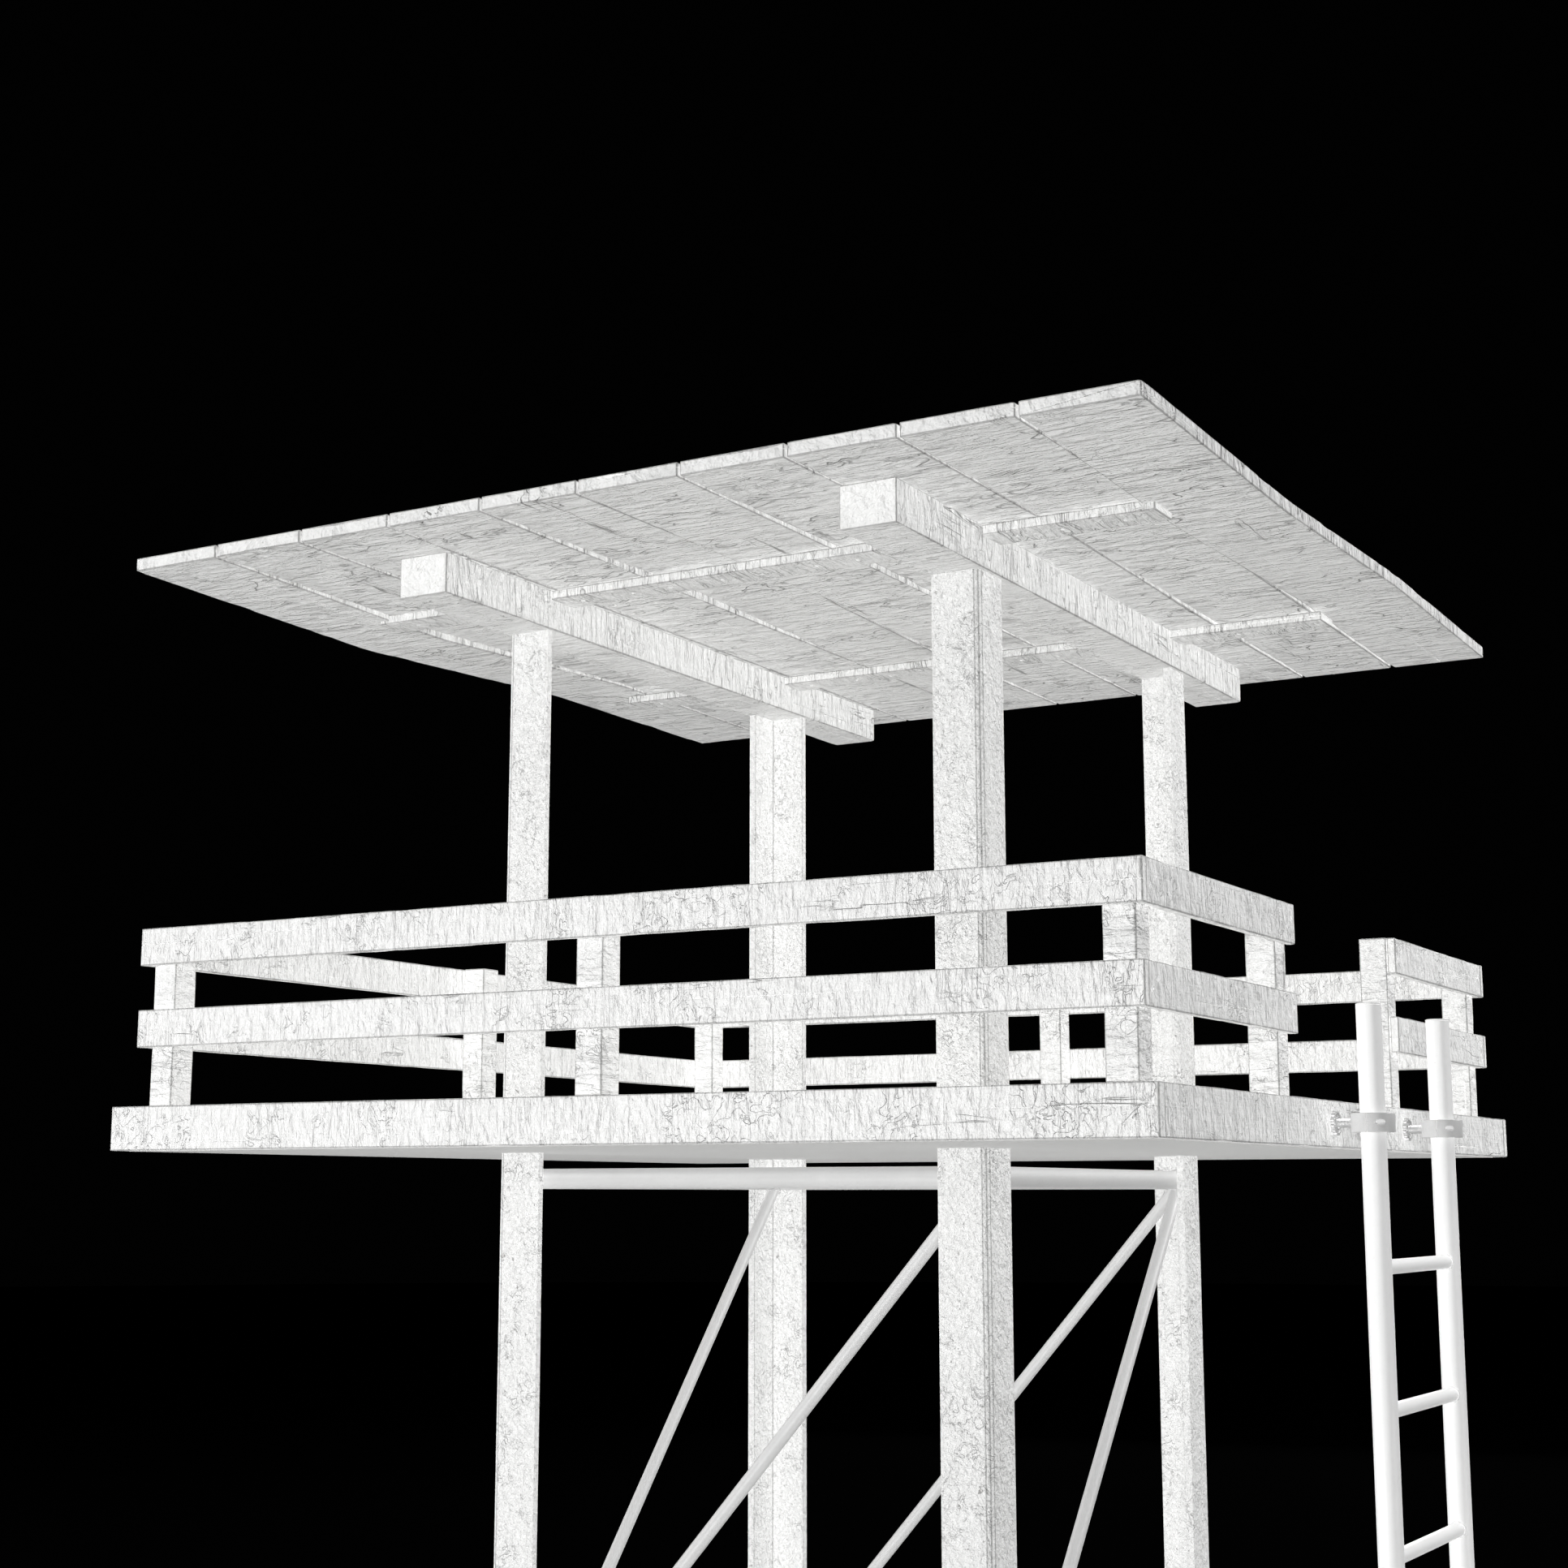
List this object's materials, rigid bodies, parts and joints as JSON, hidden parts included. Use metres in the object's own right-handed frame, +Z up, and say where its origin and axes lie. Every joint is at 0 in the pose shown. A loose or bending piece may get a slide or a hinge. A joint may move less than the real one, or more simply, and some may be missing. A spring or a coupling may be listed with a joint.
{
  "type": "raised hunting stand",
  "caption": "Raised four-legged hunting platform with a plank roof, two-rail wooden railing, braced steel angle legs and a tube ladder held in ring clamps.",
  "frame": {"origin": "on the ground, on the tower's centre line, at the centre of the square of outermost anchor holes", "axes": "+X to the ladder side, +Y from the front to the rear, +Z up"},
  "size_m": [2.738, 2.6, 3.163],
  "materials": {
    "leg_steel": "thick pale paint over rough rolled steel",
    "tube_steel": "pale semi-matt paint",
    "zinc_steel": "dull zinc",
    "rail_wood": "rough-sawn, white-washed",
    "beam_wood": "rough-sawn, white-washed",
    "roof_wood": "weathered, white-washed",
    "deck_wood": "weathered boards, walked bare",
    "soffit_ply": "smooth painted sheet",
    "cap_plastic": "matt",
    "foot_rubber": "matt black"
  },
  "bodies": {
    "frame": {"leg_front_left": "leg_steel", "leg_front_right": "leg_steel", "leg_rear_right": "leg_steel", "leg_rear_left": "leg_steel", "foot_plates": "leg_steel", "upper_ring_front": "tube_steel", "upper_ring_rear": "tube_steel", "upper_ring_left": "tube_steel", "upper_ring_right": "tube_steel", "lower_ring": "tube_steel", "brace_front": "tube_steel", "brace_rear": "tube_steel", "brace_left": "tube_steel", "brace_right": "tube_steel", "clamp_inner_front": "zinc_steel", "clamp_inner_rear": "zinc_steel", "clamp_outer_front": "zinc_steel", "clamp_outer_rear": "zinc_steel", "clamp_studs": "zinc_steel", "clamp_nuts": "zinc_steel", "clamp_bolts": "zinc_steel", "leg_joist_bolts": "zinc_steel", "beam_dowels": "zinc_steel", "rail_screws": "zinc_steel", "deck_screws": "zinc_steel", "batten_screws": "zinc_steel", "batten_tie_pins": "zinc_steel", "rail_front_top": "rail_wood", "rail_front_mid": "rail_wood", "rail_rear_top": "rail_wood", "rail_rear_mid": "rail_wood", "rail_left_top": "rail_wood", "rail_left_mid": "rail_wood", "rail_right_front_top": "rail_wood", "rail_right_front_mid": "rail_wood", "rail_right_rear_top": "rail_wood", "rail_right_rear_mid": "rail_wood", "rail_stakes_corner": "rail_wood", "rail_stakes_middle": "rail_wood", "rail_stakes_gate": "rail_wood", "rim_front": "rail_wood", "rim_rear": "rail_wood", "rim_left": "rail_wood", "rim_right": "rail_wood", "roof_beam_left": "beam_wood", "roof_beam_right": "beam_wood", "roof_batten_front": "beam_wood", "roof_batten_rear": "beam_wood", "roof_planks": "roof_wood", "deck_boards": "deck_wood", "deck_joists": "deck_wood", "deck_soffit": "soffit_ply"},
    "ladder": {"ladder_stile_front": "tube_steel", "ladder_stile_rear": "tube_steel", "ladder_rungs": "tube_steel", "ladder_stile_caps": "cap_plastic", "ladder_feet": "foot_rubber"},
    "lock_wheel_front": {"lock_wheel_front": "zinc_steel"},
    "lock_wheel_rear": {"lock_wheel_rear": "zinc_steel"}
  },
  "joints": [
    {"name": "ladder_lift", "type": "slide", "parent": "frame", "child": "ladder", "axis": [0, 0, 1], "range_m": [0, 0.26]},
    {"name": "lock_wheel_front_turn", "type": "hinge", "parent": "frame", "child": "lock_wheel_front", "pos_m": [1.3053, -0.2615, 1.769], "axis": [1, 0, 0], "continuous": true},
    {"name": "lock_wheel_rear_turn", "type": "hinge", "parent": "frame", "child": "lock_wheel_rear", "pos_m": [1.3053, 0.3015, 1.769], "axis": [1, 0, 0], "continuous": true}
  ]
}
